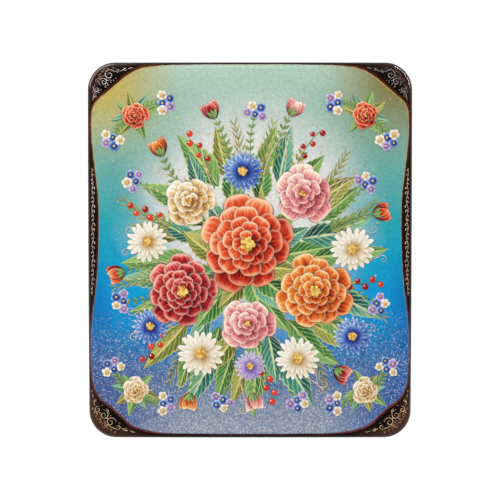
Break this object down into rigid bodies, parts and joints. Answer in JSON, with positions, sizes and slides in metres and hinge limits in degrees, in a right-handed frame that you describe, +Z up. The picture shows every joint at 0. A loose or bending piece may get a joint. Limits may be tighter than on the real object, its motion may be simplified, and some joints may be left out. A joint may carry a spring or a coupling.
{
  "type": "lacquer box",
  "caption": "Low rectangular lacquer box with rounded corners and a flush hinged lid: black outside, red inside, with a painted field and gold scrolls on the gently domed top.",
  "frame": {"origin": "middle of the base's underside, on the surface that the box stands on", "axes": "+X along the hinge, +Y from the front edge to the hinge edge, +Z up"},
  "size_m": [0.13, 0.151, 0.046],
  "materials": {
    "black_lacquer": "gloss",
    "red_lacquer": "gloss",
    "hinge_brass": "satin",
    "picture_paint": "gloss",
    "gold_paint": "satin"
  },
  "bodies": {
    "box": {"base_board": "black_lacquer", "box_wall": "black_lacquer", "box_collar": "red_lacquer", "hinge_knuckle_box_1": "hinge_brass", "hinge_knuckle_box_2": "hinge_brass", "hinge_knuckle_box_3": "hinge_brass", "hinge_knuckle_box_4": "hinge_brass", "hinge_pin": "hinge_brass", "box_hinge_rivets": "hinge_brass"},
    "lid": {"lid_rim": "black_lacquer", "lid_panel": "black_lacquer", "hinge_knuckle_lid_1": "hinge_brass", "hinge_knuckle_lid_2": "hinge_brass", "hinge_knuckle_lid_3": "hinge_brass", "lid_hinge_rivets": "hinge_brass"}
  },
  "joints": [
    {"name": "lid_hinge", "type": "hinge", "parent": "box", "child": "lid", "pos_m": [0, 0.074, 0.031], "axis": [-1, 0, 0], "range_deg": [0, 98]}
  ]
}
